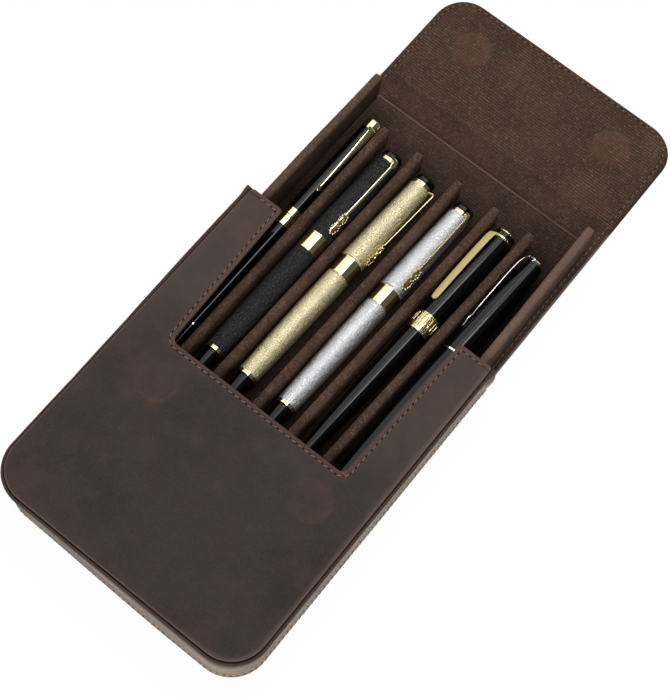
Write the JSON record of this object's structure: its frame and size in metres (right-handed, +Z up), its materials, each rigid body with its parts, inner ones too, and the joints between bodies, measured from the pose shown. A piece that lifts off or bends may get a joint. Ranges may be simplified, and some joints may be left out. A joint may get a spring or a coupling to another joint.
{
  "type": "fountain pen case",
  "caption": "Flat leather pen case with a cut-out front, a long magnetic flap and a sliding padded tray with pens in its slots.",
  "frame": {"origin": "on the underside of the back panel, in the middle of the pouch's mouth line", "axes": "+Y from the pouch towards the flap's tip, +X across the pouch, +Z up from the back panel to the front panel"},
  "size_m": [0.1436, 0.3488, 0.0315],
  "materials": {
    "leather": "waxed pull-up leather with rubbed edges",
    "suede": "brushed suede with a fine twill",
    "board": "matte",
    "magnet": "plated",
    "black_lacquer": "gloss",
    "black_sleeve": "grained, satin",
    "gold_sleeve": "crackled foil, satin",
    "silver_sleeve": "crackled foil, satin",
    "gold_trim": "polished",
    "silver_trim": "polished"
  },
  "bodies": {
    "pouch": {"back_leather": "leather", "back_board": "board", "back_lining": "suede", "gusset": "leather", "gusset_lining": "suede", "front_leather": "leather", "front_board": "board", "front_lining": "suede", "panel_magnets": "magnet"},
    "flap_spine": {"spine_leather": "leather", "spine_lining": "suede"},
    "flap_front": {"flap_leather": "leather", "flap_board": "board", "flap_lining": "suede", "flap_magnets": "magnet"},
    "tray": {"tray_base": "leather", "tray_board": "board", "tray_floor": "suede", "tray_wall_left": "suede", "tray_wall_right": "suede", "tray_wall_end": "suede", "divider_1": "suede", "divider_2": "suede", "divider_3": "suede", "divider_4": "suede", "divider_5": "suede"},
    "slim_pen": {"slim_pen_cap": "black_lacquer", "slim_pen_barrel": "black_lacquer", "slim_pen_trim": "gold_trim", "slim_pen_clip": "gold_trim"},
    "black_pen": {"black_pen_cap": "black_sleeve", "black_pen_barrel": "black_sleeve", "black_pen_ends": "black_lacquer", "black_pen_trim": "gold_trim", "black_pen_clip": "gold_trim"},
    "gold_pen": {"gold_pen_cap": "gold_sleeve", "gold_pen_barrel": "gold_sleeve", "gold_pen_ends": "black_lacquer", "gold_pen_trim": "gold_trim", "gold_pen_clip": "gold_trim"},
    "silver_pen": {"silver_pen_cap": "silver_sleeve", "silver_pen_barrel": "silver_sleeve", "silver_pen_ends": "black_lacquer", "silver_pen_trim": "gold_trim", "silver_pen_clip": "gold_trim"},
    "lacquer_pen": {"lacquer_pen_cap": "black_lacquer", "lacquer_pen_barrel": "black_lacquer", "lacquer_pen_trim": "gold_trim", "lacquer_pen_clip": "gold_trim"},
    "large_pen": {"large_pen_cap": "black_lacquer", "large_pen_barrel": "black_lacquer", "large_pen_trim": "silver_trim", "large_pen_clip": "silver_trim"}
  },
  "joints": [
    {"name": "tray_slide", "type": "slide", "parent": "pouch", "child": "tray", "axis": [0, -1, 0], "range_m": [-0.086, 0.0895]},
    {"name": "flap_fold_lower", "type": "hinge", "parent": "pouch", "child": "flap_spine", "pos_m": [0, 0.0915, 0.0037], "axis": [1, 0, 0], "range_deg": [0, 90]},
    {"name": "flap_fold_upper", "type": "hinge", "parent": "flap_spine", "child": "flap_front", "pos_m": [0, 0.1198, 0.0037], "axis": [1, 0, 0], "range_deg": [0, 90]},
    {"name": "slim_pen_slide", "type": "slide", "parent": "tray", "child": "slim_pen", "axis": [0, -1, 0], "range_m": [-0.15, 0]},
    {"name": "black_pen_slide", "type": "slide", "parent": "tray", "child": "black_pen", "axis": [-0.0165, -0.9999, 0], "range_m": [-0.15, 0]},
    {"name": "gold_pen_slide", "type": "slide", "parent": "tray", "child": "gold_pen", "axis": [-0.0217, -0.9998, 0], "range_m": [-0.15, 0]},
    {"name": "silver_pen_slide", "type": "slide", "parent": "tray", "child": "silver_pen", "axis": [-0.0264, -0.9997, 0], "range_m": [-0.15, 0]},
    {"name": "lacquer_pen_slide", "type": "slide", "parent": "tray", "child": "lacquer_pen", "axis": [-0.0445, -0.999, 0], "range_m": [-0.15, 0]},
    {"name": "large_pen_slide", "type": "slide", "parent": "tray", "child": "large_pen", "axis": [-0.0423, -0.9991, 0], "range_m": [-0.15, 0]}
  ]
}
